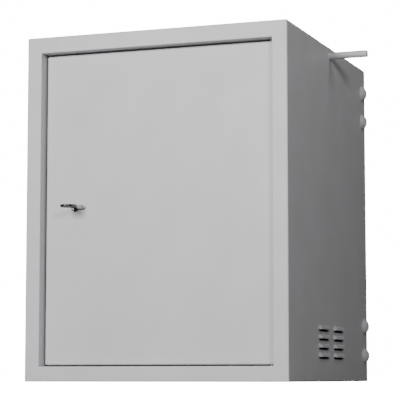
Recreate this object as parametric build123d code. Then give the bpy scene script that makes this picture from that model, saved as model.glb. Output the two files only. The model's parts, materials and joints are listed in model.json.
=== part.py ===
from build123d import *
from math import asin, cos, radians, sin
import os

# Vandal-proof wall cabinet for 19-inch equipment, in millimetres. A welded sheet-steel case slides over
# a tray that is bolted to the wall, and dome-headed bolts hold it there. The recessed door turns on
# hidden pivots and is locked by two rods that a profile cylinder drives.
# The origin is the middle of the underside. +Z is up, the door faces -Y and the wall is at +Y.

# Case
case_width = 600.0
case_depth = 640.0
case_height = 756.0
sheet = 2.0
fold = 1.0  # inside radius of every fold
side_fold = 18.0  # how far each side folds in over the top and the base

# Clearances
hole_fit = 0.3  # round a moving rod or a bolt
close_fit = 0.05  # round a pin, a bush or a plug
case_fit = 0.3  # case over the wall tray
cylinder_fit = 0.2
over = 1.0  # how far a cut starts and ends outside what it cuts

# Front frame and its door stop
border_side = 34.0
border_top = 36.0
border_bottom = 33.0
frame_wrap = 20.0
stop_lip = 10.0
stop_lip_hinge = 24.0
seal_thickness = 4.0
seal_width = 4.5
seal_gap = 0.3

# Door
door_recess = 24.0
door_gap = 3.0
door_depth = 20.0
door_edge = 4.0
door_corner = 5.0
door_back_edge = 2.0
door_return = 24.0
stiffener_x = 40.0
stiffener_crown = 50.0
stiffener_depth = 14.0
stiffener_foot = 15.0
stiffener_sheet = 1.5
stiffener_margin = 45.0

# Pivots
pivot_inset = 11.0  # from the side of the opening
pivot_back = 7.0  # behind the door's face
pin_radius = 3.0
pin_chamfer = 0.5
pin_reach = 8.5  # inside the door
pin_head_radius = 6.0
pin_head_height = 3.0
bush_radius = 4.8
bush_length = 10.0
collar_radius = 6.5
collar_height = 1.0
hinge_washer_radius = 7.0

# Lock
lock_from_opening = 73.0  # from the side of the opening to the axis of the plug
cylinder_radius = 8.5
tail_radius = 5.0
tail_reach = 24.5  # from the plug's axis
cylinder_proud = 3.0
cylinder_length = 31.0
plug_radius = 6.5
plug_proud = 0.5
keyway_width = 8.6
keyway_height = 2.3
keyway_depth = 28.0
lock_case_width = 64.0
lock_case_height = 90.0
lock_case_depth = 20.0
lock_case_edge = 1.5
lock_screw_radius = 2.0
lock_screw_length = 12.0
lock_screw_head_radius = 4.0
lock_screw_head_height = 2.5
lock_screw_inset = 8.0
rod_radius = 5.0
rod_back = 10.0  # behind the door's face
rod_socket = 30.0
rod_in_case = 29.0
rod_tip_back = 0.5  # inside the door's ends when the lock is open
rod_tip_chamfer = 1.5
guide_width = 24.0
guide_height = 14.0
guide_depth = 15.0
guide_edge = 1.5
guide_from_end = 80.0

# Key
blade_width = 8.0
blade_height = 2.0
blade_length = 68.0
blade_in_bow = 2.5  # past the middle of the bow
bow_radius = 15.0
bow_thickness = 5.0
bow_out = 41.5  # middle of the bow in front of the door's face
bow_edge = 1.0
bow_neck_width = 14.0
bow_neck_reach = 20.0
ring_hole_radius = 2.5
ring_hole_offset = 9.0

# Wall tray, and the domed bolts that hold the case to it
tray_flange = 50.0
wall_hole_radius = 6.0
wall_hole_from_side = 80.0
wall_hole_from_end = 90.0
dome_radius = 18.0
dome_rim = 2.0
dome_rise = 10.0
dome_shank_radius = 6.0
dome_shank_length = 18.3
dome_from_rear = 28.0
dome_from_end = 61.0
dome_pitch = 69.5
dome_washer_radius = 12.0
dome_washer_thickness = 2.0
nut_width = 19.0
nut_height = 10.0

# Louvres near the foot of each side
louvre_slot_length = 70.0
louvre_slot = 4.5
louvre_length = 76.0
louvre_out = 7.0
louvre_rise = 9.0
louvre_wall = 1.5
louvre_facets = 5  # of its curve
louvre_taper = 7.0  # length of the slope at each of its ends
louvre_taper_crown = 2.5  # length of the gentle part of that slope
louvre_taper_drop = 1.2  # how far the gentle part falls
louvre_first = 52.0  # middle of the lowest slot
louvre_pitch = 20.0
louvre_rows = 4
louvre_column = 60.0  # each way from the middle of the depth

# Peg on the right side
peg_radius = 8.0
peg_length = 88.0
peg_y = 8.0
peg_from_top = 19.5
peg_chamfer = 1.0
peg_thread_radius = 6.0
peg_thread_length = 17.0
peg_plate_length = 60.0
peg_plate_height = 30.0
peg_plate_thickness = 3.0

# 19-inch rails and the channels that carry them
rack_unit = 44.45
rack_margin = 40.0  # at least, above and below the units
rack_hole_spacing = 465.1
rack_hole = 9.5
rack_hole_offsets = (6.35, 22.225, 38.1)  # in each unit, from its lower edge
rail_inner = 225.5
rail_outer = 241.5
rail_depth = 30.0
rail_end = 8.0
rail_from_front = 100.0
rail_from_rear = 120.0
rail_bolt_back = 15.0
support_from_end = 65.0  # of the depth, at each end
support_height = 22.0
support_from_edge = 150.0  # from the base, and from the top
support_bolt_level = 11.0
support_slot_length = 60.0
support_slot = 6.4
rail_bolt_radius = 3.0
rail_bolt_head = 10.0
rail_bolt_head_height = 4.0
rail_bolt_length = 10.5
rail_nut_height = 5.0

# Cable entry in the base, closed from the inside
entry_width = 220.0
entry_depth = 62.0
entry_from_rear = 94.0
entry_corner = 6.0
cover_margin = 10.0
cover_screw_radius = 2.5
cover_screw_short = 0.2  # from the screw's end to the underside
cover_screw_head_radius = 4.0
cover_screw_head_height = 3.0
cover_screw_inset = 5.0

# Earth studs
stud_radius = 3.0
stud_length = 16.0
stud_nut_width = 10.0
stud_nut_height = 5.0
stud_nut_back = 4.0
case_stud_from_front = 120.0
case_stud_z = 30.0
door_stud_from_side = 143.0
door_stud_from_end = 54.0

# Places worked out from the sizes
half = case_width / 2
front = -case_depth / 2
rear = case_depth / 2
outer_fold = fold + sheet
through = sheet + 2 * over  # a cut through one sheet
open_x = half - border_side
open_low = border_bottom
open_high = case_height - border_top
door_x = open_x - door_gap
door_low = open_low + door_gap
door_high = open_high - door_gap
door_face = front + door_recess
door_back = door_face + door_depth
skin = door_face + sheet
stop_face = door_back + seal_thickness
frame_back = stop_face + sheet
lip_left = -open_x + stop_lip
lip_right = open_x - stop_lip_hinge
lip_low = open_low + stop_lip
lip_high = open_high - stop_lip
pivot_x = open_x - pivot_inset
pivot_y = door_face + pivot_back
bush_bore = pin_radius + close_fit
rod_y = door_face + rod_back
lock_x = -open_x + lock_from_opening
lock_z = case_height / 2
cylinder_front = door_face - cylinder_proud
tray_x = half - sheet - case_fit
tray_inner = tray_x - sheet
peg_z = case_height - peg_from_top
rack_units = int((case_height - 2 * rack_margin) // rack_unit)
rail_faces = {"front": front + rail_from_front, "rear": rear - rail_from_rear}
support_length = case_depth - 2 * support_from_end
support_low = support_from_edge
support_top = case_height - support_from_edge
entry_y = rear - entry_from_rear
case_stud = (half - sheet, front + case_stud_from_front, case_stud_z)
door_stud = (-door_x + door_stud_from_side, skin, door_low + door_stud_from_end)


def slab(x0, x1, y0, y1, z0, z1):
    """A block between two corners."""
    return Pos((x0 + x1) / 2, (y0 + y1) / 2, (z0 + z1) / 2) * Box(x1 - x0, y1 - y0, z1 - z0)


def bar(start, direction, radius, length):
    """A round bar from a point along a direction."""
    low = (Align.CENTER, Align.CENTER, Align.MIN)
    return Plane(origin=start, z_dir=direction) * Cylinder(radius, length, align=low)


def hexagon(start, direction, across, thickness):
    """A hexagonal bar from a point along a direction."""
    outline = RegularPolygon(across / 2, 6, major_radius=False)
    return extrude(Plane(origin=start, z_dir=direction) * outline, thickness)


def nut(start, direction, across, thickness, bore):
    """A hexagon nut with a plain bore."""
    return hexagon(start, direction, across, thickness) - bar(start, direction, bore, thickness)


def upright(sketch, y0, y1):
    """A solid from y0 back to y1 whose outline is drawn in X and Z."""
    return extrude(Plane(origin=(0, y1, 0), x_dir=(1, 0, 0), z_dir=(0, -1, 0)) * sketch, y1 - y0)


def folded_sheet(outer, inner, along, at_fold):
    """A folded sheet: the outer block less the inner one, both rounded along the same folds."""
    outer = fillet(outer.edges().filter_by(along).filter_by(at_fold), outer_fold)
    inner = fillet(inner.edges().filter_by(along).filter_by(at_fold), fold)
    return outer - inner


def front_ring():
    """The whole frame round the door, before it is cut at the mitres: face, wrap, opening and door stop."""
    ring = slab(-half, half, front, front + frame_wrap, 0, case_height)
    ring = fillet(ring.edges().filter_by(Axis.Y) + ring.edges().group_by(Axis.Y)[0], outer_fold)
    hollow = slab(-half + sheet, half - sheet, front + sheet, front + frame_wrap + over, sheet, case_height - sheet)
    ring -= fillet(hollow.edges().filter_by(Axis.Y), fold)
    ring += slab(-open_x - sheet, open_x + sheet, front + sheet, frame_back, open_low - sheet, open_high + sheet)
    ring -= slab(-open_x, open_x, front - over, stop_face, open_low, open_high)
    ring -= slab(lip_left, lip_right, stop_face - over, frame_back + over, lip_low, lip_high)
    ring = fillet([edge for edge in ring.edges() if on_opening(edge)], sheet)
    holes = []
    for end, outward in ((open_low, -1), (open_high, 1)):
        start = end - outward * over
        holes.append(bar((pivot_x, pivot_y, start), (0, 0, outward), bush_bore, through))
        holes.append(bar((lock_x, rod_y, start), (0, 0, outward), rod_radius + 2 * hole_fit, through))
    return ring - holes


def on_opening(edge):
    """Whether an edge lies on the opening's outline in the front plane."""
    c = edge.center()
    in_opening = abs(c.X) < open_x + 0.01 and open_low - 0.01 < c.Z < open_high + 0.01
    return abs(c.Y - front) < 0.01 and in_opening


def frame_member(ring, first, second):
    """One mitred member of the frame, between two corners."""
    corners = {
        "bottom_left": [(-half, 0), (-open_x - sheet, open_low - sheet), (lip_left, lip_low)],
        "bottom_right": [(half, 0), (open_x + sheet, open_low - sheet), (lip_right, lip_low)],
        "top_left": [(-half, case_height), (-open_x - sheet, open_high + sheet), (lip_left, lip_high)],
        "top_right": [(half, case_height), (open_x + sheet, open_high + sheet), (lip_right, lip_high)],
    }
    outline = make_face(Polyline(*corners[first], *reversed(corners[second]), close=True))
    return ring & upright(outline, front - over, frame_back + over)


def louvre_form(out, rise, length):
    """A louvre's raised form, from its lower edge up: it curves back to the sheet above, and slopes at its ends."""
    turns = [step * 90 / louvre_facets for step in range(louvre_facets + 1)]
    curve = [(out * cos(radians(turn)), rise * sin(radians(turn))) for turn in turns]
    across = Plane(origin=(0, length / 2, 0), x_dir=(1, 0, 0), z_dir=(0, -1, 0))
    end = length / 2
    crown = end - louvre_taper
    corners = [(0, end), (out - louvre_taper_drop, crown + louvre_taper_crown), (out, crown)]
    plan = make_face(Polyline(*corners, *[(x, -y) for x, y in reversed(corners)], close=True))
    section = make_face(Polyline((0, 0), *curve, close=True))
    return extrude(across * section, length) & extrude(plan, rise)


def louvre_places():
    """The middle of every slot, as y and z."""
    rows = [louvre_first + row * louvre_pitch for row in range(louvre_rows)]
    return [(y, z) for y in (-louvre_column, louvre_column) for z in rows]


def dome_places():
    """The axis of every domed bolt in one side, as y and z."""
    low = [dome_from_end, dome_from_end + dome_pitch]
    return [(rear - dome_from_rear, z) for z in low + [case_height - z for z in low]]


def side_panel():
    """The right side before the peg's hole: folded in along its top and base, louvred and drilled."""
    outer = slab(half - side_fold, half, front + frame_wrap, rear, 0, case_height)
    inner = slab(half - side_fold - over, half - sheet, front + frame_wrap, rear, sheet, case_height - sheet)
    panel = folded_sheet(outer, inner, Axis.Y, lambda edge: edge.center().X > half - outer_fold)
    hood = louvre_form(louvre_out, louvre_rise, louvre_length)
    t = louvre_wall
    hood -= louvre_form(louvre_out - t, louvre_rise - t, louvre_length - 2 * t)
    window_height = louvre_slot + louvre_rise - 2 * louvre_wall
    window = extrude(Plane.YZ * Rectangle(louvre_slot_length, window_height), through)
    window = Pos(-sheet - over, 0, window_height / 2 - louvre_slot) * window
    seats = [Pos(half, y, z + louvre_slot / 2) for y, z in louvre_places()]
    panel -= [seat * window for seat in seats]
    panel += [seat * hood for seat in seats]
    bolt_hole = dome_shank_radius + hole_fit
    return panel - [bar((half + over, y, z), (-1, 0, 0), bolt_hole, through) for y, z in dome_places()]


def bottom_panel():
    """The base, let in between the folds of the sides, with the cable entry and its cover's screw holes."""
    panel = slab(-half + side_fold, half - side_fold, front + frame_wrap, rear, 0, sheet)
    entry = Pos(0, entry_y) * RectangleRounded(entry_width, entry_depth, entry_corner)
    return panel - extrude(entry, sheet) - cover_screw_holes()


def cover_screw_places():
    """The screws of the cable cover, as x and y."""
    x = entry_width / 2 + cover_screw_inset
    y = entry_depth / 2 + cover_screw_inset
    return [(sx * x, entry_y + sy * y) for sx in (-1, 1) for sy in (-1, 1)]


def cover_screw_holes():
    """The holes for the screws of the cable cover, through the base and the cover."""
    radius = cover_screw_radius + close_fit
    return [bar((x, y, 0), (0, 0, 1), radius, 2 * sheet) for x, y in cover_screw_places()]


def cable_cover():
    """The plate over the cable entry, on the inside of the base."""
    outline = RectangleRounded(entry_width + 2 * cover_margin, entry_depth + 2 * cover_margin, entry_corner)
    plate = extrude(Plane.XY.offset(sheet) * Pos(0, entry_y) * outline, sheet)
    return plate - cover_screw_holes()


def cable_cover_screws():
    """The screws of the cable cover, with their heads inside the case."""
    screws = []
    for x, y in cover_screw_places():
        head = bar((x, y, 2 * sheet), (0, 0, 1), cover_screw_head_radius, cover_screw_head_height)
        start = (x, y, cover_screw_short)
        screws.append(head + bar(start, (0, 0, 1), cover_screw_radius, 2 * sheet - cover_screw_short))
    return screws


def back_tray():
    """The tray that is bolted to the wall first, with flanges all round that the case slides over."""
    low = sheet + case_fit
    high = case_height - sheet - case_fit
    tray = slab(-tray_x, tray_x, rear - tray_flange, rear, low, high)
    tray = fillet(tray.edges().group_by(Axis.Y)[-1], outer_fold)
    inner_front = rear - tray_flange - over
    inner = slab(-tray_inner, tray_inner, inner_front, rear - sheet, low + sheet, high - sheet)
    tray -= fillet(inner.edges().group_by(Axis.Y)[-1], fold)
    holes = []
    for side in (-1, 1):
        for z in (wall_hole_from_end, case_height - wall_hole_from_end):
            seat = (side * (half - wall_hole_from_side), rear + over, z)
            holes.append(bar(seat, (0, -1, 0), wall_hole_radius, through))
        for y, z in dome_places():
            seat = (side * (tray_x + over), y, z)
            holes.append(bar(seat, (-side, 0, 0), dome_shank_radius + hole_fit, through))
    return tray - holes


def dome_bolt(start, direction):
    """A bolt with a large smooth head that no tool can grip."""
    ball = (dome_radius**2 + dome_rise**2) / (2 * dome_rise)
    top = dome_rim + dome_rise
    angle = asin(dome_radius / ball) / 2
    crown = (ball * sin(angle), top - ball + ball * cos(angle))
    edge = Polyline((0, top), (0, 0), (dome_radius, 0), (dome_radius, dome_rim))
    arc = ThreePointArc((dome_radius, dome_rim), crown, (0, top))
    head = revolve(Plane.XZ * make_face(edge + arc), Axis.Z)
    shank = bar((0, 0, 0), (0, 0, -1), dome_shank_radius, dome_shank_length)
    return Plane(origin=start, z_dir=direction) * (head + shank)


def dome_bolts(side):
    """The domed bolts through one side."""
    return [dome_bolt((side * half, y, z), (side, 0, 0)) for y, z in dome_places()]


def dome_washers(side):
    """The washers of one side's domed bolts, inside the tray."""
    washers = []
    for y, z in dome_places():
        seat = (side * tray_inner, y, z)
        ring = bar(seat, (-side, 0, 0), dome_washer_radius, dome_washer_thickness)
        washers.append(ring - bar(seat, (-side, 0, 0), dome_shank_radius + close_fit, dome_washer_thickness))
    return washers


def dome_nuts(side):
    """The nuts of one side's domed bolts."""
    seat = side * (tray_inner - dome_washer_thickness)
    bore = dome_shank_radius
    return [nut((seat, y, z), (-side, 0, 0), nut_width, nut_height, bore) for y, z in dome_places()]


def side_peg():
    """The round peg out of the right side, turned down where it passes through the sheet."""
    peg = bar((half, peg_y, peg_z), (1, 0, 0), peg_radius, peg_length)
    peg = chamfer(peg.edges().group_by(Axis.X)[-1], peg_chamfer)
    return peg + bar((half, peg_y, peg_z), (-1, 0, 0), peg_thread_radius, peg_thread_length)


def peg_plate():
    """The plate that spreads the peg's load inside the side."""
    inner = half - sheet
    y0 = peg_y - peg_plate_length / 2
    z0 = peg_z - peg_plate_height / 2
    plate = slab(inner - peg_plate_thickness, inner, y0, y0 + peg_plate_length, z0, z0 + peg_plate_height)
    return plate - bar((half, peg_y, peg_z), (-1, 0, 0), peg_thread_radius + hole_fit, peg_thread_length)


def peg_nut():
    """The nut that holds the peg."""
    seat = (half - sheet - peg_plate_thickness, peg_y, peg_z)
    return nut(seat, (-1, 0, 0), nut_width, nut_height, peg_thread_radius)


def support(side, web, up):
    """A channel welded along one side, its web at the given height and its legs up or down from there."""
    low, high = sorted((web, web + up * support_height))
    length = support_length / 2
    body = slab(rail_outer, half - sheet, -length, length, low, high)
    hollow_low, hollow_high = sorted((web + up * sheet, web + up * (support_height + over)))
    hollow = slab(rail_outer + sheet, half - 2 * sheet, -length, length, hollow_low, hollow_high)
    channel = folded_sheet(body, hollow, Axis.Y, lambda edge: abs(edge.center().Z - web) < outer_fold)
    slots = []
    for face in rail_faces.values():
        origin = (rail_outer - over, rail_bolt_y(face), web + up * support_bolt_level)
        slot = Plane(origin=origin, x_dir=(0, 1, 0), z_dir=(1, 0, 0)) * SlotOverall(support_slot_length, support_slot)
        slots.append(extrude(slot, through))
    channel -= slots
    return channel if side > 0 else mirror(channel, about=Plane.YZ)


def rail_bolt_y(face):
    """How far back a rail's bolts are, for a rail with its face at the given y."""
    return face + rail_bolt_back if face < 0 else face - rail_bolt_back


def rail_bolt_levels():
    """The height of the rail bolts, in the lower and the upper channel."""
    return (support_low + support_bolt_level, support_top - support_bolt_level)


def rail_bolt_places():
    """Every rail bolt of one side, as y and z."""
    return [(rail_bolt_y(face), z) for face in rail_faces.values() for z in rail_bolt_levels()]


def rack_rail(side, face):
    """An angle with square holes at the 19-inch pitch, its holed flange to the door or to the wall."""
    into = 1 if face < 0 else -1
    span = rack_unit * rack_units
    low = (case_height - span) / 2
    y0, y1 = sorted((face, face + into * rail_depth))
    body = slab(rail_inner, rail_outer, y0, y1, low - rail_end, low + span + rail_end)
    y0, y1 = sorted((face + into * sheet, face + into * (rail_depth + over)))
    hollow = slab(rail_inner - over, rail_outer - sheet, y0, y1, low - rail_end, low + span + rail_end)
    rail = folded_sheet(body, hollow, Axis.Z, lambda edge: at_rail_fold(edge, face))
    x = rack_hole_spacing / 2
    r = rack_hole / 2
    y0, y1 = sorted((face - into * over, face + into * (sheet + over)))
    levels = [low + unit * rack_unit + offset for unit in range(rack_units) for offset in rack_hole_offsets]
    holes = [slab(x - r, x + r, y0, y1, z - r, z + r) for z in levels]
    for z in rail_bolt_levels():
        seat = (rail_outer - sheet - over, rail_bolt_y(face), z)
        holes.append(bar(seat, (1, 0, 0), rail_bolt_radius + close_fit, through))
    rail -= holes
    return rail if side > 0 else mirror(rail, about=Plane.YZ)


def at_rail_fold(edge, face):
    """Whether an edge is at the fold between a rail's two flanges."""
    return edge.center().X > rail_outer - outer_fold and abs(edge.center().Y - face) < outer_fold


def rail_bolts():
    """The bolts that hold the rails to the channels."""
    bolts = []
    for side in (-1, 1):
        for y, z in rail_bolt_places():
            seat = (side * (rail_outer - sheet), y, z)
            head = hexagon(seat, (-side, 0, 0), rail_bolt_head, rail_bolt_head_height)
            bolts.append(head + bar(seat, (side, 0, 0), rail_bolt_radius, rail_bolt_length))
    return bolts


def rail_nuts():
    """The nuts of the rail bolts, in the channels."""
    nuts = []
    for side in (-1, 1):
        for y, z in rail_bolt_places():
            seat = (side * (rail_outer + sheet), y, z)
            nuts.append(nut(seat, (side, 0, 0), rail_bolt_head, rail_nut_height, rail_bolt_radius))
    return nuts


def door_seal():
    """A rubber strip round the stop, just clear of the closed door."""
    w = seal_width
    y0 = door_back + seal_gap
    ring = slab(lip_left - w, lip_right + w, y0, stop_face, lip_low - w, lip_high + w)
    return ring - slab(lip_left, lip_right, y0 - over, stop_face + over, lip_low, lip_high)


def hinge_pin(end, outward):
    """A pivot pin in the frame, with its head hidden inside the frame."""
    root = (pivot_x, pivot_y, end + outward * sheet)
    shank = bar(root, (0, 0, -outward), pin_radius, sheet + door_gap + pin_reach)
    shank = chamfer(shank.edges().group_by(Axis.Z)[-1 if outward < 0 else 0], pin_chamfer)
    return shank + bar(root, (0, 0, outward), pin_head_radius, pin_head_height)


def hinge_washer():
    """The washer that carries the door on its lower pivot."""
    seat = (pivot_x, pivot_y, open_low)
    thickness = door_gap - collar_height
    return bar(seat, (0, 0, 1), hinge_washer_radius, thickness) - bar(seat, (0, 0, 1), bush_bore, thickness)


def hinge_bush(end, inward):
    """A flanged bush in one end of the door."""
    seat = (pivot_x, pivot_y, end)
    bush = bar(seat, (0, 0, inward), bush_radius, bush_length)
    bush += bar(seat, (0, 0, -inward), collar_radius, collar_height)
    bore_start = (pivot_x, pivot_y, end - inward * (collar_height + over))
    return bush - bar(bore_start, (0, 0, inward), bush_bore, bush_length + collar_height + 2 * over)


def cylinder_outline(grow):
    """The outline of the profile cylinder on its side, with its tail to the right, in X and Z."""
    tail_x = lock_x + tail_reach - tail_radius
    tail = Pos(tail_x, lock_z) * Circle(tail_radius + grow)
    neck = Pos((lock_x + tail_x) / 2, lock_z) * Rectangle(tail_x - lock_x, 2 * (tail_radius + grow))
    return Pos(lock_x, lock_z) * Circle(cylinder_radius + grow) + neck + tail


def door_pan():
    """The door: a pan with its rear edges folded in, and holes for the cylinder, the pivots and the rods."""
    pan = slab(-door_x, door_x, door_face, door_back, door_low, door_high)
    pan = fillet(pan.edges().filter_by(Axis.Y), door_corner)
    pan = fillet(pan.edges().group_by(Axis.Y)[0], door_edge)
    pan = chamfer(pan.edges().group_by(Axis.Y)[-1], door_back_edge)
    inner = slab(-door_x + sheet, door_x - sheet, skin, door_back - sheet, door_low + sheet, door_high - sheet)
    pan -= chamfer(inner.edges().group_by(Axis.Y)[0], door_edge - sheet)
    window_x = door_x - door_return
    window_low = door_low + door_return
    window_high = door_high - door_return
    pan -= slab(-window_x, window_x, door_back - sheet - over, door_back + over, window_low, window_high)
    holes = [upright(cylinder_outline(cylinder_fit), door_face - over, skin + over)]
    for end, inward in ((door_low, 1), (door_high, -1)):
        start = end - inward * over
        holes.append(bar((pivot_x, pivot_y, start), (0, 0, inward), bush_radius + close_fit, bush_length + over))
        holes.append(bar((lock_x, rod_y, start), (0, 0, inward), rod_radius + hole_fit, through))
    return pan - holes


def door_stiffener():
    """A hat section spot-welded up the inside of the door."""
    t = stiffener_sheet
    foot = skin + t / 2
    crown = skin + stiffener_depth - t / 2
    x = stiffener_crown / 2 - t / 2
    toe = x + stiffener_foot
    points = [(-toe, foot), (-x, foot), (-x, crown), (x, crown), (x, foot), (toe, foot)]
    line = FilletPolyline(*[(stiffener_x + px, py) for px, py in points], radius=fold + t / 2)
    low = door_low + stiffener_margin
    return extrude(Plane.XY.offset(low) * trace(line, t), door_high - door_low - 2 * stiffener_margin)


def lock_case():
    """The lock's case, with sockets for the rods and the hole for the cylinder."""
    w = lock_case_width / 2
    h = lock_case_height / 2
    case = slab(lock_x - w, lock_x + w, skin, skin + lock_case_depth, lock_z - h, lock_z + h)
    case = chamfer(case.edges().filter_by(Axis.Y) + case.edges().group_by(Axis.Y)[-1], lock_case_edge)
    holes = [upright(cylinder_outline(cylinder_fit), skin - over, skin + lock_case_depth + over)]
    for up in (-1, 1):
        seat = (lock_x, rod_y, lock_z + up * (h + over))
        holes.append(bar(seat, (0, 0, -up), rod_radius + hole_fit, rod_socket + over))
    for x, z in lock_screw_places():
        holes.append(bar((x, skin + lock_case_depth, z), (0, -1, 0), lock_screw_radius, lock_screw_length))
    return case - holes


def lock_screw_places():
    """The screws in the lock case's corners, as x and z."""
    x = lock_case_width / 2 - lock_screw_inset
    z = lock_case_height / 2 - lock_screw_inset
    return [(lock_x + sx * x, lock_z + sz * z) for sx in (-1, 1) for sz in (-1, 1)]


def lock_screws():
    """The screws in the back of the lock case."""
    back = skin + lock_case_depth
    screws = []
    for x, z in lock_screw_places():
        head = bar((x, back, z), (0, 1, 0), lock_screw_head_radius, lock_screw_head_height)
        screws.append(head + bar((x, back, z), (0, -1, 0), lock_screw_radius, lock_screw_length))
    return screws


def lock_cylinder():
    """The profile cylinder's body, bored for the plug."""
    body = upright(cylinder_outline(0), cylinder_front, cylinder_front + cylinder_length)
    bore = (lock_x, cylinder_front - over, lock_z)
    return body - bar(bore, (0, 1, 0), plug_radius + close_fit, cylinder_length + 2 * over)


def cylinder_plug():
    """The plug that the key turns."""
    start = cylinder_front - plug_proud
    plug = bar((lock_x, start, lock_z), (0, 1, 0), plug_radius, cylinder_length + plug_proud)
    w = keyway_width / 2
    h = keyway_height / 2
    return plug - slab(lock_x - w, lock_x + w, start - over, start + keyway_depth, lock_z - h, lock_z + h)


def key_blade():
    """The key's flat blade, from the middle of the bow to near the end of the keyway."""
    w = blade_width / 2
    h = blade_height / 2
    start = door_face - bow_out - blade_in_bow
    return slab(lock_x - w, lock_x + w, start, start + blade_length, lock_z - h, lock_z + h)


def key_head():
    """The key's moulded bow, holed for a ring."""
    outline = Circle(bow_radius) + Pos(0, bow_neck_reach / 2) * Rectangle(bow_neck_width, bow_neck_reach)
    outline -= Pos(0, -ring_hole_offset) * Circle(ring_hole_radius)
    base = Plane(origin=(lock_x, door_face - bow_out, lock_z - bow_thickness / 2))
    bow = extrude(base * outline, bow_thickness)
    bow = chamfer(bow.edges().group_by(Axis.Z)[0] + bow.edges().group_by(Axis.Z)[-1], bow_edge)
    return bow - key_blade()


def lock_rod(up):
    """A round rod from the lock case to one end of the door."""
    end = door_high - rod_tip_back if up > 0 else door_low + rod_tip_back
    start = lock_z + up * (lock_case_height / 2 - rod_in_case)
    rod = bar((lock_x, rod_y, start), (0, 0, up), rod_radius, abs(end - start))
    return chamfer(rod.edges().group_by(Axis.Z)[-1 if up > 0 else 0], rod_tip_chamfer)


def rod_guide(up):
    """The block on the door that a rod slides through."""
    level = door_high - guide_from_end if up > 0 else door_low + guide_from_end
    w = guide_width / 2
    h = guide_height / 2
    block = slab(lock_x - w, lock_x + w, skin, skin + guide_depth, level - h, level + h)
    block = chamfer(block.edges().group_by(Axis.Y)[-1], guide_edge)
    start = (lock_x, rod_y, level - h - over)
    return block - bar(start, (0, 0, 1), rod_radius + hole_fit, guide_height + 2 * over)


def earth_stud(root, direction):
    """A stud welded to the inside of a sheet."""
    return bar(root, direction, stud_radius, stud_length)


def earth_nut(root, direction):
    """The nut on an earth stud."""
    seat = tuple(r + stud_nut_back * d for r, d in zip(root, direction))
    return nut(seat, direction, stud_nut_width, stud_nut_height, stud_radius)


ring = front_ring()
side = side_panel()
peg_hole = bar((half + over, peg_y, peg_z), (-1, 0, 0), peg_thread_radius + hole_fit, through)
top_x = half - side_fold

nodes = {
    "frame_left": frame_member(ring, "bottom_left", "top_left"),
    "frame_right": frame_member(ring, "bottom_right", "top_right"),
    "frame_top": frame_member(ring, "top_left", "top_right"),
    "frame_bottom": frame_member(ring, "bottom_left", "bottom_right"),
    "left_side": mirror(side, about=Plane.YZ),
    "right_side": side - peg_hole,
    "top_panel": slab(-top_x, top_x, front + frame_wrap, rear, case_height - sheet, case_height),
    "bottom_panel": bottom_panel(),
    "cable_cover": cable_cover(),
    "cable_cover_screws": cable_cover_screws(),
    "back_tray": back_tray(),
    "dome_bolts_left": dome_bolts(-1),
    "dome_bolts_right": dome_bolts(1),
    "dome_washers_left": dome_washers(-1),
    "dome_washers_right": dome_washers(1),
    "dome_nuts_left": dome_nuts(-1),
    "dome_nuts_right": dome_nuts(1),
    "side_peg": side_peg(),
    "peg_plate": peg_plate(),
    "peg_nut": peg_nut(),
    "support_left_bottom": support(-1, support_low, 1),
    "support_right_bottom": support(1, support_low, 1),
    "support_left_top": support(-1, support_top, -1),
    "support_right_top": support(1, support_top, -1),
    "rack_rail_front_left": rack_rail(-1, rail_faces["front"]),
    "rack_rail_front_right": rack_rail(1, rail_faces["front"]),
    "rack_rail_rear_left": rack_rail(-1, rail_faces["rear"]),
    "rack_rail_rear_right": rack_rail(1, rail_faces["rear"]),
    "rail_bolts": rail_bolts(),
    "rail_nuts": rail_nuts(),
    "door_seal": door_seal(),
    "hinge_pin_top": hinge_pin(open_high, 1),
    "hinge_pin_bottom": hinge_pin(open_low, -1),
    "hinge_washer": hinge_washer(),
    "hinge_bush_top": hinge_bush(door_high, -1),
    "hinge_bush_bottom": hinge_bush(door_low, 1),
    "door": door_pan(),
    "door_stiffener": door_stiffener(),
    "lock_case": lock_case(),
    "lock_screws": lock_screws(),
    "lock_cylinder": lock_cylinder(),
    "cylinder_plug": cylinder_plug(),
    "key_blade": key_blade(),
    "key_head": key_head(),
    "lock_rod_top": lock_rod(1),
    "lock_rod_bottom": lock_rod(-1),
    "rod_guide_top": rod_guide(1),
    "rod_guide_bottom": rod_guide(-1),
    "ground_stud_case": earth_stud(case_stud, (-1, 0, 0)),
    "ground_nut_case": earth_nut(case_stud, (-1, 0, 0)),
    "ground_stud_door": earth_stud(door_stud, (0, 1, 0)),
    "ground_nut_door": earth_nut(door_stud, (0, 1, 0)),
}

os.makedirs("parts", exist_ok=True)
for name, shape in nodes.items():
    pieces = shape if isinstance(shape, list) else [shape]
    solids = [solid for piece in pieces for solid in piece.solids()]
    export_step(solids[0] if len(solids) == 1 else Compound(children=solids), "parts/" + name + ".step")
print(len(nodes), "sub-parts written")
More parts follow.
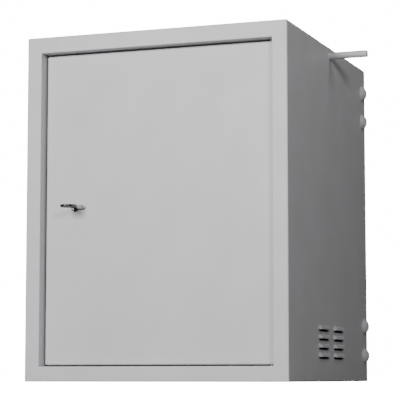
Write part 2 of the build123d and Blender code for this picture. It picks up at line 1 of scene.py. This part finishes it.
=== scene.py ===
import json
import math
import bpy
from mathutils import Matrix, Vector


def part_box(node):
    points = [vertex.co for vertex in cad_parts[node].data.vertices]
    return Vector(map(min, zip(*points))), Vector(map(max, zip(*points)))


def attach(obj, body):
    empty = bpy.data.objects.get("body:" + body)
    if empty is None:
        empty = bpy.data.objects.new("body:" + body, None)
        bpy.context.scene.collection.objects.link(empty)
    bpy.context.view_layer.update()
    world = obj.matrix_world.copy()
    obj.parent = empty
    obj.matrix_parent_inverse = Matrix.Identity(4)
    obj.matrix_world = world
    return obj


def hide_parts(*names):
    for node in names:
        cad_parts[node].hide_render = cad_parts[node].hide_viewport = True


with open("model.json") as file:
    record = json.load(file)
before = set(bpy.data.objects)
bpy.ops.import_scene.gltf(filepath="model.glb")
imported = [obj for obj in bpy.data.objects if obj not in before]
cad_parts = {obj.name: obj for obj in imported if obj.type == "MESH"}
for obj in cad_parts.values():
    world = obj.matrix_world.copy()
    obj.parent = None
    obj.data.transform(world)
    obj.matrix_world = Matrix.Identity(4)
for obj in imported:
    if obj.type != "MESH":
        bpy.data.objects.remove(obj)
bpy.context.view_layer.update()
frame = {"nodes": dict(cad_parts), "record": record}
mm = 0.001  # the scene is in metres, sizes below are in millimetres
over = 1  # how far a cut runs past the face it starts from
through = 4  # how much longer than the piece a through bore is


# Small helpers

def clearSelection():
    if bpy.context.object and bpy.context.object.mode != "OBJECT":
        bpy.ops.object.mode_set(mode="OBJECT")
    bpy.ops.object.select_all(action="DESELECT")


def onlySelect(piece):
    clearSelection()
    piece.select_set(True)
    bpy.context.view_layer.objects.active = piece


def addBlock(low, high):
    clearSelection()
    centre = [(a + b) / 2 * mm for a, b in zip(low, high)]
    bpy.ops.mesh.primitive_cube_add(size=1, location=centre)
    block = bpy.context.object
    block.scale = [(b - a) * mm for a, b in zip(low, high)]
    bpy.ops.object.transform_apply(location=True, rotation=True, scale=True)
    return block


def addRound(centre, radius, depth, turn=(0, 0, 0), sides=64, stretch=(1, 1, 1)):
    clearSelection()
    place = [value * mm for value in centre]
    bpy.ops.mesh.primitive_cylinder_add(
        vertices=sides, radius=radius * mm, depth=depth * mm, location=place, rotation=turn
    )
    solid = bpy.context.object
    solid.scale = stretch
    bpy.ops.object.transform_apply(location=True, rotation=True, scale=True)
    return solid


def applyAll(piece):
    onlySelect(piece)
    for modifier in list(piece.modifiers):
        bpy.ops.object.modifier_apply(modifier=modifier.name)


def combine(piece, tool, operation):
    modifier = piece.modifiers.new("combine", "BOOLEAN")
    modifier.operation = operation
    modifier.solver = "EXACT"
    modifier.object = tool
    applyAll(piece)
    bpy.data.objects.remove(tool)


def softenEdges(piece, width, segments=3, angle=30):
    modifier = piece.modifiers.new("soften", "BEVEL")
    modifier.width = width * mm
    modifier.segments = segments
    modifier.limit_method = "ANGLE"
    modifier.angle_limit = math.radians(angle)
    applyAll(piece)
    bpy.ops.object.shade_smooth_by_angle(angle=math.radians(angle))


def finishPiece(piece, name, body, slotName, stands):
    piece.name = name
    piece.data.name = name
    piece.data.materials.clear()
    piece.data.materials.append(finishes[slotName])
    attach(piece, body)
    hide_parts(*stands)


# Materials

def hexColour(text):
    # from an sRGB hex value to the linear colour that a shader takes
    channels = [int(text[i:i + 2], 16) / 255 for i in (1, 3, 5)]
    return [c / 12.92 if c <= 0.04045 else ((c + 0.055) / 1.055) ** 2.4 for c in channels] + [1]


def addNode(tree, kind, settings=None, **links):
    node = tree.nodes.new(kind)
    for key, value in (settings or {}).items():
        if key in node.inputs:
            node.inputs[key].default_value = value
        else:
            setattr(node, key, value)
    for key, source in links.items():
        tree.links.new(source, node.inputs[key.replace("_", " ")])
    return node


def newMaterial(name):
    material = bpy.data.materials.new(name)
    material.use_nodes = True
    tree = material.node_tree
    shader = tree.nodes["Principled BSDF"]
    place = addNode(tree, "ShaderNodeTexCoord").outputs["Object"]
    return material, tree, shader, place


def perMillimetre(size):
    return 1000 / size  # noise scale whose features are about that many millimetres


cloudEdges = (0.35, 0.65)  # where a mottled colour is all of the first, and all of the second


def mottle(tree, shader, place, colours, size):
    settings = {"Scale": perMillimetre(size), "Detail": 3.0}
    noise = addNode(tree, "ShaderNodeTexNoise", settings, Vector=place)
    ramp = addNode(tree, "ShaderNodeValToRGB", None, Fac=noise.outputs["Fac"])
    for element, position, colour in zip(ramp.color_ramp.elements, cloudEdges, colours):
        element.position = position
        element.color = hexColour(colour)
    tree.links.new(ramp.outputs["Color"], shader.inputs["Base Color"])


def varyRoughness(tree, shader, place, low, high, size):
    settings = {"Scale": perMillimetre(size), "Detail": 4.0}
    noise = addNode(tree, "ShaderNodeTexNoise", settings, Vector=place)
    limits = {"To Min": low, "To Max": high}
    spread = addNode(tree, "ShaderNodeMapRange", limits, Value=noise.outputs["Fac"])
    tree.links.new(spread.outputs["Result"], shader.inputs["Roughness"])


def lightGreyPowderCoat():
    # Polyester powder baked on steel: a satin film with a fine orange peel that breaks up
    # highlights.
    coat = {
        "colours": ("#BCBCBE", "#C0C0C3"),
        "cloud": 90,
        "roughness": (0.42, 0.5),
        "wear": 35,  # size of the duller patches
        "peel": 1.4,
        "depth": 0.02,
    }
    material, tree, shader, place = newMaterial("lightGreyPowderCoat")
    mottle(tree, shader, place, coat["colours"], coat["cloud"])
    varyRoughness(tree, shader, place, *coat["roughness"], coat["wear"])
    settings = {"Scale": perMillimetre(coat["peel"]), "Detail": 2.0}
    peel = addNode(tree, "ShaderNodeTexNoise", settings, Vector=place)
    relief = {"Strength": 0.35, "Distance": coat["depth"] * mm}
    bump = addNode(tree, "ShaderNodeBump", relief, Height=peel.outputs["Fac"])
    tree.links.new(bump.outputs["Normal"], shader.inputs["Normal"])
    shader.inputs["IOR"].default_value = 1.5
    shader.inputs["Specular IOR Level"].default_value = 0.4
    return material


def zincPlate():
    # Bright zinc on steel: bluish grey with faint clouds from the passivation bath.
    zinc = {
        "colours": ("#63666A", "#777A7B"),
        "cloud": 9,
        "roughness": (0.34, 0.5),
        "wear": 4,
        "grain": 0.5,
        "depth": 0.02,
    }
    material, tree, shader, place = newMaterial("zincPlate")
    mottle(tree, shader, place, zinc["colours"], zinc["cloud"])
    varyRoughness(tree, shader, place, *zinc["roughness"], zinc["wear"])
    settings = {"Scale": perMillimetre(zinc["grain"]), "Detail": 3.0}
    grain = addNode(tree, "ShaderNodeTexNoise", settings, Vector=place)
    relief = {"Strength": 0.2, "Distance": zinc["depth"] * mm}
    bump = addNode(tree, "ShaderNodeBump", relief, Height=grain.outputs["Fac"])
    tree.links.new(bump.outputs["Normal"], shader.inputs["Normal"])
    shader.inputs["Metallic"].default_value = 1
    return material


def galvanisedRail():
    # Zinc-coated strip that is folded after coating: broad crystals, duller than plated screws.
    strip = {
        "colours": ("#9B9FA2", "#B1B3B4"),
        "crystal": 7,
        "roughness": (0.38, 0.52),
        "wear": 12,
    }
    material, tree, shader, place = newMaterial("galvanisedRail")
    settings = {"Scale": perMillimetre(strip["crystal"])}
    crystals = addNode(tree, "ShaderNodeTexVoronoi", settings, Vector=place)
    ramp = addNode(tree, "ShaderNodeValToRGB", None, Fac=crystals.outputs["Color"])
    for element, colour in zip(ramp.color_ramp.elements, strip["colours"]):
        element.color = hexColour(colour)
    tree.links.new(ramp.outputs["Color"], shader.inputs["Base Color"])
    varyRoughness(tree, shader, place, *strip["roughness"], strip["wear"])
    shader.inputs["Metallic"].default_value = 1
    return material


def nickelWithPaintedShade():
    # Nickel over machined brass with fine turning lines across. Its dark grey colour is painted
    # shade for the dark reflection on its flats; its edges still catch the lamps and show bright.
    nickel = {
        # painted shade: these colours are darkened to stand in for a dark reflection on the nickel
        "colours": ("#55544F", "#67655F"),
        "cloud": 14,
        "roughness": (0.28, 0.4),
        "wear": 3,
        "line": 0.5,
        "depth": 0.02,
        "stretch": (1, 12, 1),
    }
    material, tree, shader, place = newMaterial("nickelWithPaintedShade")
    stretched = addNode(tree, "ShaderNodeMapping", {"Scale": nickel["stretch"]}, Vector=place)
    lines = stretched.outputs["Vector"]
    mottle(tree, shader, lines, nickel["colours"], nickel["cloud"])
    varyRoughness(tree, shader, lines, *nickel["roughness"], nickel["wear"])
    settings = {"Scale": perMillimetre(nickel["line"])}
    noise = addNode(tree, "ShaderNodeTexNoise", settings, Vector=lines)
    relief = {"Strength": 0.25, "Distance": nickel["depth"] * mm}
    bump = addNode(tree, "ShaderNodeBump", relief, Height=noise.outputs["Fac"])
    tree.links.new(bump.outputs["Normal"], shader.inputs["Normal"])
    shader.inputs["Metallic"].default_value = 1
    return material


def mouldedBlackPlastic():
    # ABS key cover from a lightly sparked mould: deep black with a soft sheen and fine grain.
    plastic = {
        "colours": ("#0D0D0E", "#151516"),
        "cloud": 5,
        "roughness": (0.3, 0.42),
        "wear": 2,
        "grain": 0.3,
        "depth": 0.02,
    }
    material, tree, shader, place = newMaterial("mouldedBlackPlastic")
    mottle(tree, shader, place, plastic["colours"], plastic["cloud"])
    varyRoughness(tree, shader, place, *plastic["roughness"], plastic["wear"])
    settings = {"Scale": perMillimetre(plastic["grain"]), "Detail": 2.0}
    grain = addNode(tree, "ShaderNodeTexNoise", settings, Vector=place)
    relief = {"Strength": 0.3, "Distance": plastic["depth"] * mm}
    bump = addNode(tree, "ShaderNodeBump", relief, Height=grain.outputs["Fac"])
    tree.links.new(bump.outputs["Normal"], shader.inputs["Normal"])
    shader.inputs["IOR"].default_value = 1.5
    return material


def cellRubber():
    # Foamed rubber strip with a closed skin: dull, dark and slightly pitted.
    rubber = {"colours": ("#141414", "#222222"), "cloud": 3, "cell": 0.8, "depth": 0.15}
    material, tree, shader, place = newMaterial("cellRubber")
    mottle(tree, shader, place, rubber["colours"], rubber["cloud"])
    settings = {"Scale": perMillimetre(rubber["cell"])}
    pits = addNode(tree, "ShaderNodeTexVoronoi", settings, Vector=place)
    relief = {"Strength": 0.4, "Distance": rubber["depth"] * mm}
    bump = addNode(tree, "ShaderNodeBump", relief, Height=pits.outputs["Distance"])
    tree.links.new(bump.outputs["Normal"], shader.inputs["Normal"])
    shader.inputs["Roughness"].default_value = 0.9
    return material


def turnedBrass():
    # Turned bearing brass, tarnished to a dull brown.
    brass = {"colours": ("#6B5734", "#83704A"), "cloud": 4, "roughness": (0.3, 0.45), "wear": 1}
    material, tree, shader, place = newMaterial("turnedBrass")
    mottle(tree, shader, place, brass["colours"], brass["cloud"])
    varyRoughness(tree, shader, place, *brass["roughness"], brass["wear"])
    shader.inputs["Metallic"].default_value = 1
    return material


def blackNylon():
    # Moulded nylon, waxy and slightly lighter than the key's plastic.
    nylon = {"colours": ("#202122", "#2A2B2C"), "cloud": 6, "roughness": (0.45, 0.6), "wear": 2}
    material, tree, shader, place = newMaterial("blackNylon")
    mottle(tree, shader, place, nylon["colours"], nylon["cloud"])
    varyRoughness(tree, shader, place, *nylon["roughness"], nylon["wear"])
    return material


finishes = {
    "case_paint": lightGreyPowderCoat(),
    "zinc_steel": zincPlate(),
    "rail_zinc": galvanisedRail(),
    "lock_nickel": nickelWithPaintedShade(),
    "key_plastic": mouldedBlackPlastic(),
    "seal_rubber": cellRubber(),
    "bush_brass": turnedBrass(),
    "guide_nylon": blackNylon(),
}


def dressNodes():
    for entry in frame["record"]["subparts"]:
        node = frame["nodes"][entry["node"]]
        for materialSlot in node.material_slots:
            materialSlot.material = finishes[entry["material_slot"]]


dressNodes()
print("frame dressed")


# Lock cylinder, plug and key

lockPiece = {
    "axis": (-193, 378),  # x and z of the plug's axis
    "front": -299,
    "length": 31,
    "barrel": 8.5,
    "tailRadius": 5,
    "tailOut": 19.5,
    "plug": 6.5,
    "plugProud": 0.5,
    "keyway": (8.6, 2.3, 28),  # width, height, depth
    "play": 0.05,  # between plug and barrel
    "rim": 0.45,
    "plugRim": 0.25,
    "dishMargin": 0.9,
    "dishDepth": 0.5,  # half of it lies in the plug
}

keyPiece = {
    "bowMiddle": -337.5,
    "bowRadius": 15,
    "thickness": 5,
    "neck": (14, 20),  # width, reach
    "edge": 1.6,
    "ringHole": 2.5,
    "ringHoleOut": 9,
    "recess": 0.6,
    "recessRadius": 10.4,
    "recessSquash": 0.62,
    "recessIn": 1.2,
    "recessEdge": 0.2,
    "bladeStart": 10,  # inside the bow
    "bladeBack": -272.2,
    "bladeWidth": 7.9,
    "bladeHeight": 1.95,
    "bladeEdge": 0.15,
    # each cut's distance from the bow's middle, and its depth
    "cuts": ((22, 1.6), (27, 2.4), (32, 1.2), (37, 2.0), (42, 1.5), (47, 2.2), (52, 1.4)),
    "cutOut": 1.5,  # from the blade's edge out to the cutter's middle
    "cutHeight": 4,
    "grooveWidth": 1,
    "grooveDepth": 0.45,
    "grooveLine": 0.9,  # from the blade's middle to the line between its two grooves
    "grooveOff": 1.2,  # from that line, one groove to each side
    "grooveFrom": 8,  # from the blade's start
}


def lockBarrel():
    k = lockPiece
    x, z = k["axis"]
    middle = k["front"] + k["length"] / 2
    onSide = (math.radians(90), 0, 0)
    barrel = addRound((x, middle, z), k["barrel"], k["length"], onSide, sides=72)
    web = addBlock(
        (x, k["front"], z - k["tailRadius"]),
        (x + k["tailOut"], k["front"] + k["length"], z + k["tailRadius"]),
    )
    combine(barrel, web, "UNION")
    tailMiddle = (x + k["tailOut"], middle, z)
    tail = addRound(tailMiddle, k["tailRadius"], k["length"], onSide, sides=48)
    combine(barrel, tail, "UNION")
    bore = addRound((x, middle, z), k["plug"] + k["play"], k["length"] + through, onSide, sides=72)
    combine(barrel, bore, "DIFFERENCE")
    softenEdges(barrel, k["rim"])
    finishPiece(barrel, "lockBarrel", "door", "lock_nickel", ["lock_cylinder"])


def lockPlug():
    k = lockPiece
    x, z = k["axis"]
    start = k["front"] - k["plugProud"]
    back = k["front"] + k["length"]
    onSide = (math.radians(90), 0, 0)
    plug = addRound((x, (start + back) / 2, z), k["plug"], back - start, onSide, sides=72)
    width, height, depth = k["keyway"]
    slot = addBlock(
        (x - width / 2, start - over, z - height / 2),
        (x + width / 2, start + depth, z + height / 2),
    )
    combine(plug, slot, "DIFFERENCE")
    dish = addRound((x, start, z), k["plug"] - k["dishMargin"], k["dishDepth"], onSide, sides=72)
    combine(plug, dish, "DIFFERENCE")
    softenEdges(plug, k["plugRim"], segments=2)
    finishPiece(plug, "lockPlug", "key", "lock_nickel", ["cylinder_plug"])


def keyBow():
    k = keyPiece
    x, z = lockPiece["axis"]
    bow = addRound((x, k["bowMiddle"], z), k["bowRadius"], k["thickness"], sides=96)
    width, reach = k["neck"]
    neck = addBlock(
        (x - width / 2, k["bowMiddle"], z - k["thickness"] / 2),
        (x + width / 2, k["bowMiddle"] + reach, z + k["thickness"] / 2),
    )
    combine(bow, neck, "UNION")
    holeMiddle = (x, k["bowMiddle"] - k["ringHoleOut"], z)
    hole = addRound(holeMiddle, k["ringHole"], 3 * k["thickness"], sides=32)
    combine(bow, hole, "DIFFERENCE")
    softenEdges(bow, k["edge"], segments=5)
    for side in (-1, 1):
        middle = (x, k["bowMiddle"] + k["recessIn"], z + side * k["thickness"] / 2)
        squash = (1, k["recessSquash"], 1)
        dish = addRound(middle, k["recessRadius"], 2 * k["recess"], stretch=squash)
        combine(bow, dish, "DIFFERENCE")
    softenEdges(bow, k["recessEdge"], segments=2)
    finishPiece(bow, "keyBow", "key", "key_plastic", ["key_head"])


def keyShank():
    k = keyPiece
    x, z = lockPiece["axis"]
    w = k["bladeWidth"] / 2
    h = k["bladeHeight"] / 2
    start = k["bowMiddle"] + k["bladeStart"]
    blade = addBlock((x - w, start, z - h), (x + w, k["bladeBack"], z + h))
    for distance, depth in k["cuts"]:
        middle = (x + w + k["cutOut"], k["bowMiddle"] + distance, z)
        notch = addRound(middle, depth + k["cutOut"], k["cutHeight"], sides=6)
        combine(blade, notch, "DIFFERENCE")
    for side in (-1, 1):
        line = x - k["grooveLine"] + side * k["grooveOff"]
        face = z + side * h
        groove = addBlock(
            (line - k["grooveWidth"] / 2, start + k["grooveFrom"], face - k["grooveDepth"]),
            (line + k["grooveWidth"] / 2, k["bladeBack"] + over, face + k["grooveDepth"]),
        )
        combine(blade, groove, "DIFFERENCE")
    softenEdges(blade, k["bladeEdge"], segments=2)
    finishPiece(blade, "keyShank", "key", "lock_nickel", ["key_blade"])


lockBarrel()
lockPlug()
keyBow()
keyShank()
print("lock and key made")


# Nuts, bolts and screws

fastenerPiece = {
    "nutChamfer": 0.12,  # share of the width across flats
    "cornerRoom": 1.002,  # keeps the turned blank just clear of the corners
    "edge": 0.25,
    "crown": 0.4,  # rounding of a screw head's rim, as a share of its height
    "rootIn": 0.02,  # twice what a shank runs into its head
    "crossWidth": 1.1,
    "crossDepth": 1.2,
    "crossReach": 0.62,  # of the head's radius
    "crossEdge": 0.12,
}

frameNut = {"across": 19, "height": 10, "bore": 6}
smallNut = {"across": 10, "height": 5, "bore": 3}
railBolt = {"across": 10, "height": 4, "shank": 3, "length": 10.5}
coverScrew = {"head": 4, "height": 3, "shank": 2.5, "length": 3.8}
lockScrew = {"head": 4, "height": 2.5, "shank": 2, "length": 12}

# where each one stands in the cabinet, as its solid does
fastenerSeats = {
    "domeDepth": 292,
    "domeHeights": (61, 130.5, 625.5, 695),
    "domeNutOut": 293.7,  # each way from the cabinet's middle
    "pegNut": (295, 8, 736.5),
    "railDepths": (-205, 185),
    "railHeights": (161, 595),
    "railNutOut": 243.5,  # each way, as is the bolts' below
    "railBoltOut": 239.5,
    "caseEarthNut": (294, -200, 30),
    "doorEarthNut": (-120, -290, 90),
    "coverMiddle": (0, 226, 4),
    "coverReach": (115, 36),  # sideways and in depth
    "lockBack": -274,
    "lockReach": (24, 37),  # sideways and upwards from the plug's axis
}


def addHexagon(across, height):
    # standing on the origin, with its corners turned off as on a bar-turned nut
    middle = (0, 0, height / 2)
    corner = across / math.sqrt(3)
    hexagon = addRound(middle, corner, height, sides=6)
    turned = addRound(middle, corner * fastenerPiece["cornerRoom"], height, sides=64)
    onlySelect(turned)
    bpy.ops.object.mode_set(mode="EDIT")
    bpy.ops.mesh.select_all(action="DESELECT")
    bpy.ops.mesh.select_mode(type="FACE")
    bpy.ops.object.mode_set(mode="OBJECT")
    for face in turned.data.polygons:
        face.select = abs(face.normal.z) > 0.9
    bpy.ops.object.mode_set(mode="EDIT")
    bpy.ops.mesh.bevel(offset=fastenerPiece["nutChamfer"] * across * mm, segments=1, affect="EDGES")
    bpy.ops.object.mode_set(mode="OBJECT")
    combine(hexagon, turned, "INTERSECT")
    return hexagon


def nutBlank(sizes):
    blank = addHexagon(sizes["across"], sizes["height"])
    middle = (0, 0, sizes["height"] / 2)
    bore = addRound(middle, sizes["bore"], sizes["height"] + 2 * over, sides=48)
    combine(blank, bore, "DIFFERENCE")
    softenEdges(blank, fastenerPiece["edge"], segments=2)
    return blank


def addShank(head, sizes, sides):
    middle = (0, 0, -sizes["length"] / 2)
    length = sizes["length"] + fastenerPiece["rootIn"]
    shank = addRound(middle, sizes["shank"], length, sides=sides)
    combine(head, shank, "UNION")


def boltBlank(sizes):
    blank = addHexagon(sizes["across"], sizes["height"])
    addShank(blank, sizes, 48)
    softenEdges(blank, fastenerPiece["edge"], segments=2)
    return blank


def screwBlank(sizes):
    f = fastenerPiece
    top = sizes["height"]
    blank = addRound((0, 0, top / 2), sizes["head"], top, sides=48)
    softenEdges(blank, top * f["crown"], segments=4)
    addShank(blank, sizes, 32)
    reach = sizes["head"] * f["crossReach"]
    half = f["crossWidth"] / 2
    for wide, deep in ((reach, half), (half, reach)):
        cut = addBlock((-wide, -deep, top - f["crossDepth"]), (wide, deep, top + over))
        combine(blank, cut, "DIFFERENCE")
    softenEdges(blank, f["crossEdge"], segments=2)
    return blank


def placeCopies(blank, name, seats, direction, body, node):
    quarter = math.radians(90)
    turns = {"+x": (0, quarter, 0), "-x": (0, -quarter, 0), "+y": (-quarter, 0, 0), "+z": (0, 0, 0)}
    for number, seat in enumerate(seats, 1):
        onlySelect(blank)
        bpy.ops.object.duplicate()
        copy = bpy.context.object
        copy.rotation_euler = turns[direction]
        copy.location = [value * mm for value in seat]
        bpy.ops.object.transform_apply(location=True, rotation=True, scale=True)
        finishPiece(copy, name + str(number), body, "zinc_steel", [node])


def fasteners():
    p = fastenerSeats
    corners = [(a, b) for a in (-1, 1) for b in (-1, 1)]
    largeNut = nutBlank(frameNut)
    for side, name, inward in ((-1, "left", "+x"), (1, "right", "-x")):
        seats = [(side * p["domeNutOut"], p["domeDepth"], z) for z in p["domeHeights"]]
        placeCopies(largeNut, name + "CaseNut", seats, inward, "cabinet", "dome_nuts_" + name)
    placeCopies(largeNut, "pegNut", [p["pegNut"]], "-x", "cabinet", "peg_nut")
    littleNut = nutBlank(smallNut)
    bolt = boltBlank(railBolt)
    railSeats = [(y, z) for y in p["railDepths"] for z in p["railHeights"]]
    for side, name, outward, inward in ((-1, "left", "-x", "+x"), (1, "right", "+x", "-x")):
        seats = [(side * p["railNutOut"], y, z) for y, z in railSeats]
        placeCopies(littleNut, name + "RailNut", seats, outward, "cabinet", "rail_nuts")
        seats = [(side * p["railBoltOut"], y, z) for y, z in railSeats]
        placeCopies(bolt, name + "RailBolt", seats, inward, "cabinet", "rail_bolts")
    placeCopies(littleNut, "caseEarthNut", [p["caseEarthNut"]], "-x", "cabinet", "ground_nut_case")
    placeCopies(littleNut, "doorEarthNut", [p["doorEarthNut"]], "+y", "door", "ground_nut_door")
    entryScrew = screwBlank(coverScrew)
    x, y, z = p["coverMiddle"]
    reachX, reachY = p["coverReach"]
    seats = [(x + a * reachX, y + b * reachY, z) for a, b in corners]
    placeCopies(entryScrew, "coverScrew", seats, "+z", "cabinet", "cable_cover_screws")
    caseScrew = screwBlank(lockScrew)
    x, z = lockPiece["axis"]
    reachX, reachZ = p["lockReach"]
    seats = [(x + a * reachX, p["lockBack"], z + b * reachZ) for a, b in corners]
    placeCopies(caseScrew, "lockScrew", seats, "+y", "door", "lock_screws")
    for blank in (largeNut, littleNut, bolt, entryScrew, caseScrew):
        bpy.data.objects.remove(blank)


fasteners()
print("nuts, bolts and screws made")


# Door seal

sealPiece = {
    "node": "door_seal",
    "thickness": 3.6,
    "rounding": 6,
    "inset": 2.25,  # from the strip's outer edge to its middle line
}


def bulbSeal():
    low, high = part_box(sealPiece["node"])
    radius = sealPiece["thickness"] / 2 * mm
    inset = sealPiece["inset"] * mm
    clearSelection()
    centre = ((low.x + high.x) / 2, (low.y + high.y) / 2, (low.z + high.z) / 2)
    bpy.ops.mesh.primitive_plane_add(size=1, location=centre, rotation=(math.radians(90), 0, 0))
    strip = bpy.context.object
    strip.scale = (high.x - low.x - 2 * inset, high.z - low.z - 2 * inset, 1)
    bpy.ops.object.transform_apply(location=True, rotation=True, scale=True)
    bpy.ops.object.mode_set(mode="EDIT")
    bpy.ops.mesh.select_all(action="SELECT")
    bpy.ops.mesh.delete(type="ONLY_FACE")
    bpy.ops.object.mode_set(mode="OBJECT")
    bpy.ops.object.convert(target="CURVE")
    strip = bpy.context.object
    strip.data.bevel_depth = radius
    strip.data.bevel_resolution = sealPiece["rounding"]
    bpy.ops.object.convert(target="MESH")
    strip = bpy.context.object
    bpy.ops.object.shade_smooth_by_angle(angle=math.radians(40))
    finishPiece(strip, "bulbSeal", "cabinet", "seal_rubber", [sealPiece["node"]])


bulbSeal()
print("seal made")


# Floor, light and camera

studio = {
    "floorSize": 40,
    "floorColour": "#F4F4F3",
    "floorShade": "#5A5A59",  # what it throws back on to the cabinet
    "floorGlow": 20,  # to the camera alone, so that the floor reads as white paper
    "background": "#FFFFFF",
    "backgroundGlow": 16,  # to the camera alone
    "ambient": 0.012,  # what the room gives the cabinet
    "aim": (0, 0, 0.4),
}

softboxes = {
    "keyLight": {"place": (1.95, -2.87, 1.3), "size": 0.6, "power": 50},
    "sideLight": {"place": (1.25, -0.2, 1.75), "size": 0.8, "power": 5.5},
    "frontLight": {"place": (-0.75, -3.5, 1.3), "size": 1.2, "power": 138},
    "rearLight": {"place": (-1.6, 3.2, 1.7), "size": 1.8, "power": 110},
}


def floor():
    clearSelection()
    bpy.ops.mesh.primitive_plane_add(size=studio["floorSize"], location=(0, 0, 0))
    plane = bpy.context.object
    plane.name = "studioFloor"
    material, tree, shader, place = newMaterial("palePaper")
    shader.inputs["Base Color"].default_value = hexColour(studio["floorShade"])
    shader.inputs["Roughness"].default_value = 0.9
    shader.inputs["Emission Color"].default_value = hexColour(studio["floorColour"])
    path = addNode(tree, "ShaderNodeLightPath")
    seen = path.outputs["Is Camera Ray"]
    glow = addNode(tree, "ShaderNodeMapRange", {"To Max": studio["floorGlow"]}, Value=seen)
    tree.links.new(glow.outputs["Result"], shader.inputs["Emission Strength"])
    plane.data.materials.append(material)


def softbox(name, settings):
    clearSelection()
    place = settings["place"]
    bpy.ops.object.light_add(type="AREA", location=place)
    lamp = bpy.context.object
    lamp.name = name
    lamp.data.energy = settings["power"]
    lamp.data.size = settings["size"]
    x, y, z = [a - b for a, b in zip(place, studio["aim"])]
    slope = math.atan2(math.hypot(x, y), z)
    lamp.rotation_euler = (slope, 0, math.atan2(y, x) + math.pi / 2)


def surroundings():
    world = bpy.data.worlds.new("whiteRoom")
    bpy.context.scene.world = world
    world.use_nodes = True
    tree = world.node_tree
    tree.nodes.clear()
    colour = hexColour(studio["background"])
    bright = {"Color": colour, "Strength": studio["backgroundGlow"]}
    dim = {"Color": colour, "Strength": studio["ambient"]}
    seen = addNode(tree, "ShaderNodeBackground", bright)
    fill = addNode(tree, "ShaderNodeBackground", dim)
    path = addNode(tree, "ShaderNodeLightPath")
    mix = addNode(tree, "ShaderNodeMixShader", None, Fac=path.outputs["Is Camera Ray"])
    tree.links.new(fill.outputs["Background"], mix.inputs[1])
    tree.links.new(seen.outputs["Background"], mix.inputs[2])
    addNode(tree, "ShaderNodeOutputWorld", None, Surface=mix.outputs["Shader"])


photoCamera = {
    "place": (1.30621, -3.58215, 0.01048),
    "yaw": 20.1958,  # degrees to the left
    "tilt": 6.0916,  # degrees upwards
    "lens": 149.249,
}


def camera():
    # The photo keeps its uprights parallel. A plain tilted lens comes within two or three
    # pixels of that, and the cabinet stays in the middle of any other view.
    clearSelection()
    bpy.ops.object.camera_add(location=photoCamera["place"])
    view = bpy.context.object
    view.name = "photoCamera"
    tilt = math.radians(90 + photoCamera["tilt"])
    view.rotation_euler = (tilt, 0, math.radians(photoCamera["yaw"]))
    view.data.sensor_width = 36
    view.data.lens = photoCamera["lens"]
    view.data.clip_start = 0.01
    bpy.context.scene.camera = view


floor()
for name, settings in softboxes.items():
    softbox(name, settings)
surroundings()
camera()
print("studio ready")

clearSelection()
